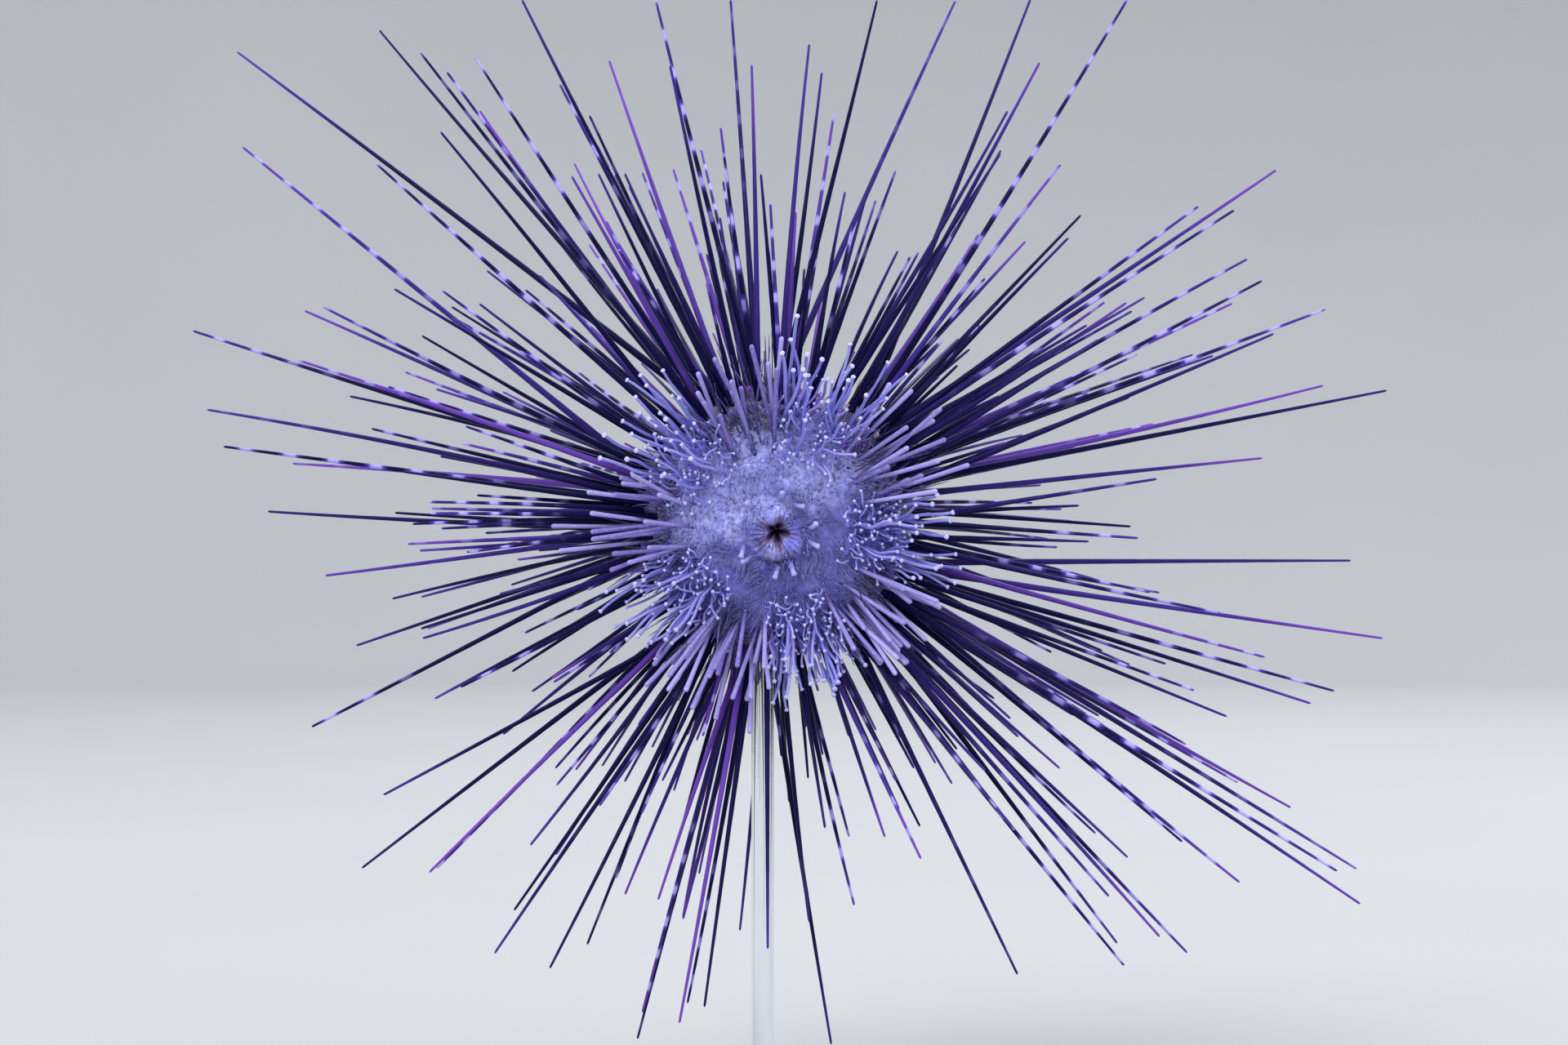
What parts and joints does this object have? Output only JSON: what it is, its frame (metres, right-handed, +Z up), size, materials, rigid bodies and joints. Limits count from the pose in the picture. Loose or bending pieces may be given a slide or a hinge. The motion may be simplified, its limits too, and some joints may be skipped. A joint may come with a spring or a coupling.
{
  "type": "long-spined sea urchin",
  "caption": "Life-size display model of a dark long-spined sea urchin, mouth side forward, with pale tube feet and banded spines, on a rod and a round base.",
  "frame": {"origin": "centre of the stand base's underside", "axes": "+Z up, the mouth side faces -Y, +X to the right as seen from the mouth side"},
  "size_m": [0.2713, 0.1827, 0.2611],
  "materials": {
    "spine_field": "dark indigo skin and spines, satin",
    "foot_field": "blue-violet skin and feet, moist satin",
    "mouth_membrane": "pale lavender skin, moist satin",
    "anal_cone": "dark skin, moist satin",
    "stand_base": "satin black",
    "stand_rod": "clear polished"
  },
  "bodies": {
    "root": {"interambulacrum_1": "spine_field", "interambulacrum_2": "spine_field", "interambulacrum_3": "spine_field", "interambulacrum_4": "spine_field", "interambulacrum_5": "spine_field", "ambulacrum_1": "foot_field", "ambulacrum_2": "foot_field", "ambulacrum_3": "foot_field", "ambulacrum_4": "foot_field", "ambulacrum_5": "foot_field", "peristome": "mouth_membrane", "anal_cone": "anal_cone", "stand_base": "stand_base", "stand_rod": "stand_rod"}
  },
  "joints": []
}
